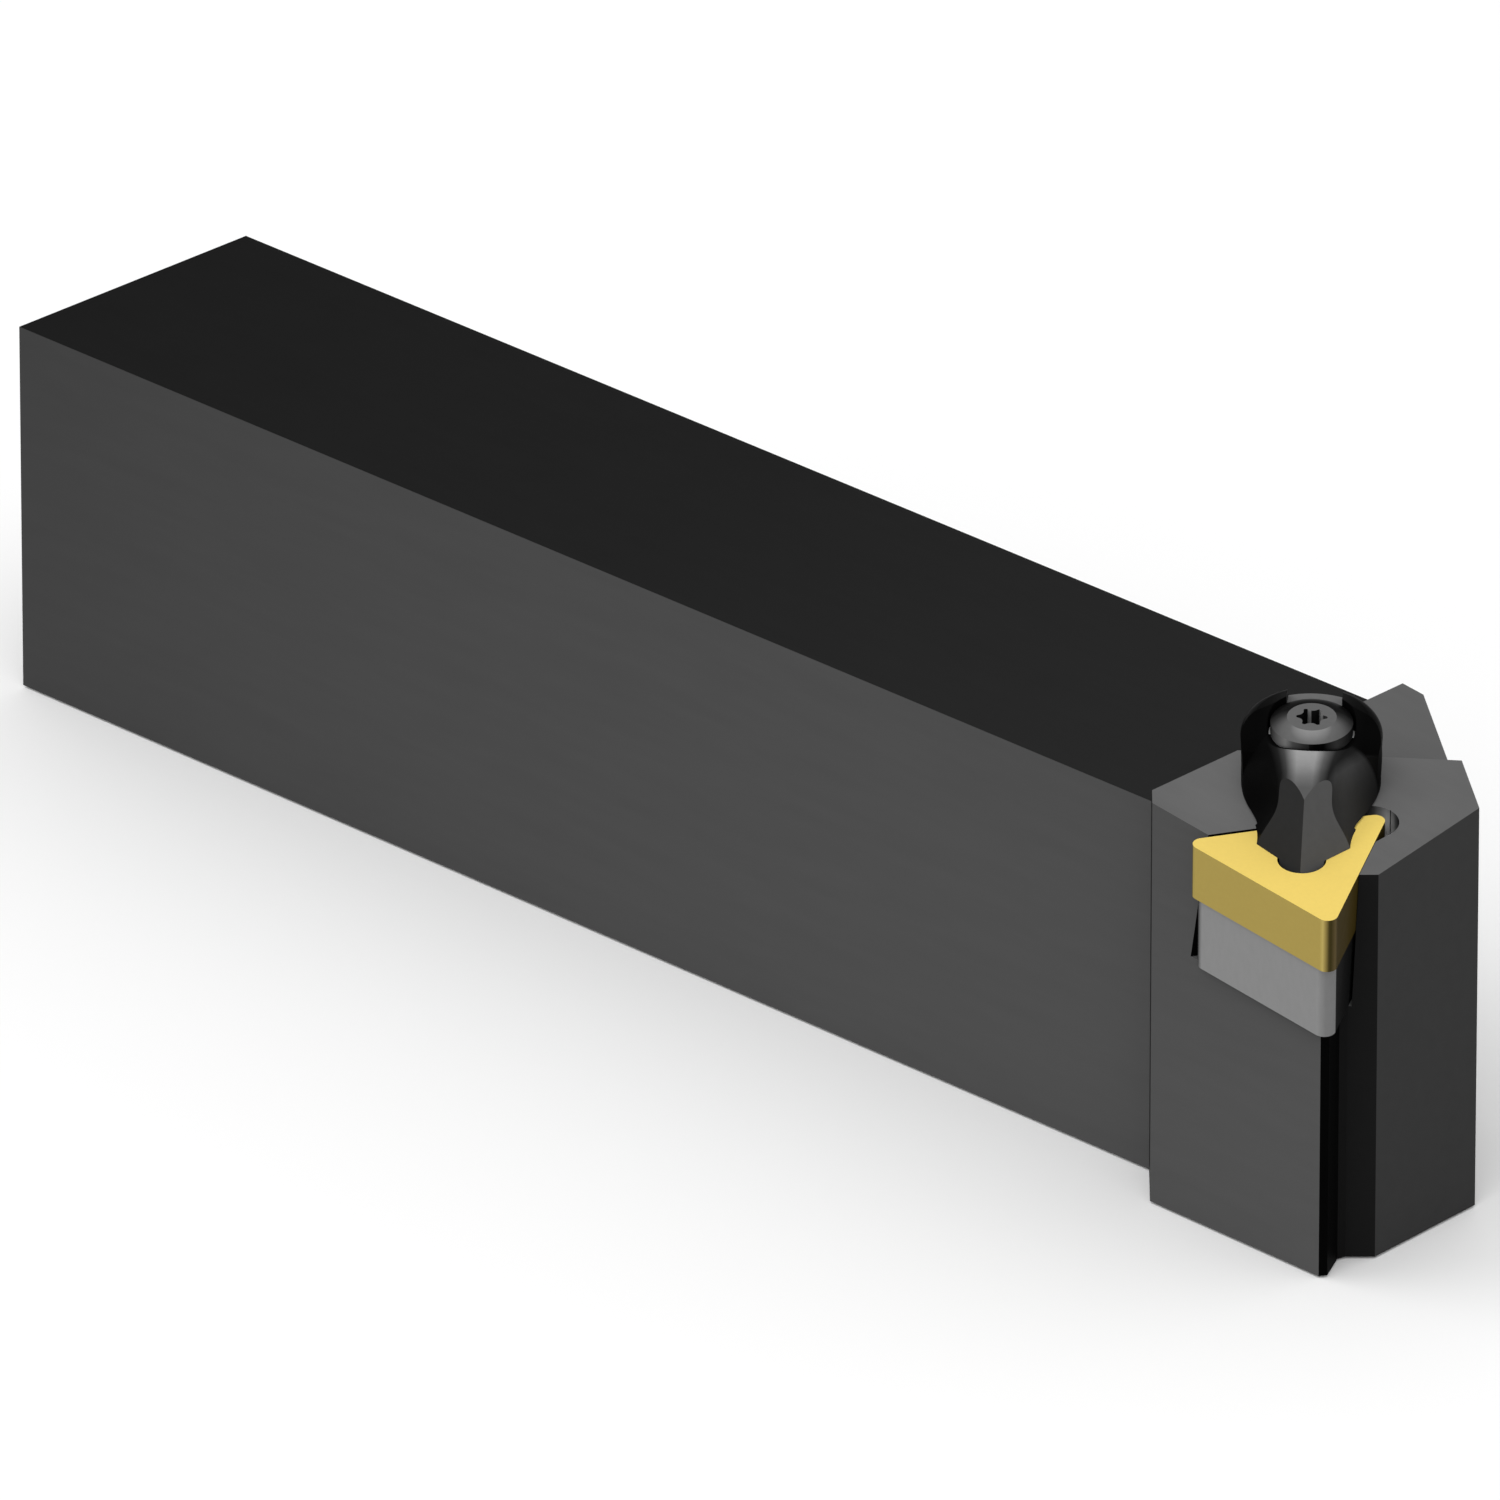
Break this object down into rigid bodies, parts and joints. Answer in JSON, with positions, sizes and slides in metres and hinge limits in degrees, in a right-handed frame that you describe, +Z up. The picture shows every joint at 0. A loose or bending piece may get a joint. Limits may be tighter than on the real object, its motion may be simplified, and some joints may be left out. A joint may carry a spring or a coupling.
{
  "type": "turning tool holder",
  "caption": "External turning tool holder: rectangular steel shank, cranked head, clamped triangular insert on a shim with a top clamp and an inclined socket screw.",
  "frame": {"origin": "middle of the shank's base face, halfway along the straight part of the shank", "axes": "+X along the shank towards the cutting head, +Z up from the base face, -Y towards the side on which the insert's nose stands out"},
  "size_m": [0.1524, 0.0318, 0.0412],
  "materials": {
    "holder_steel": "satin, blackened",
    "shim_carbide": "ground",
    "shim_screw_steel": "satin",
    "insert_coating": "satin, gold coloured",
    "clamp_steel": "satin, blackened",
    "clamp_screw_steel": "satin",
    "spring_steel": "bright"
  },
  "bodies": {
    "holder": {"holder_body": "holder_steel", "shim": "shim_carbide", "shim_screw": "shim_screw_steel", "insert": "insert_coating", "clamp_spring": "spring_steel"},
    "top_clamp": {"clamp": "clamp_steel"},
    "screw": {"clamp_screw": "clamp_screw_steel"}
  },
  "joints": [
    {"name": "clamp_lift", "type": "slide", "parent": "holder", "child": "top_clamp", "axis": [0.104, -0.104, 0.9891], "range_m": [0, 0.0024], "deforming": ["clamp_spring"]},
    {"name": "screw_turn", "type": "hinge", "parent": "top_clamp", "child": "screw", "pos_m": [0.07447, -0.00611, 0.03468], "axis": [0.104, -0.104, 0.9891], "range_deg": [0, 1080]}
  ],
  "couplings": [
    {"joint": "screw_turn", "follows": "clamp_lift", "rad_per_m": 7853.9}
  ]
}
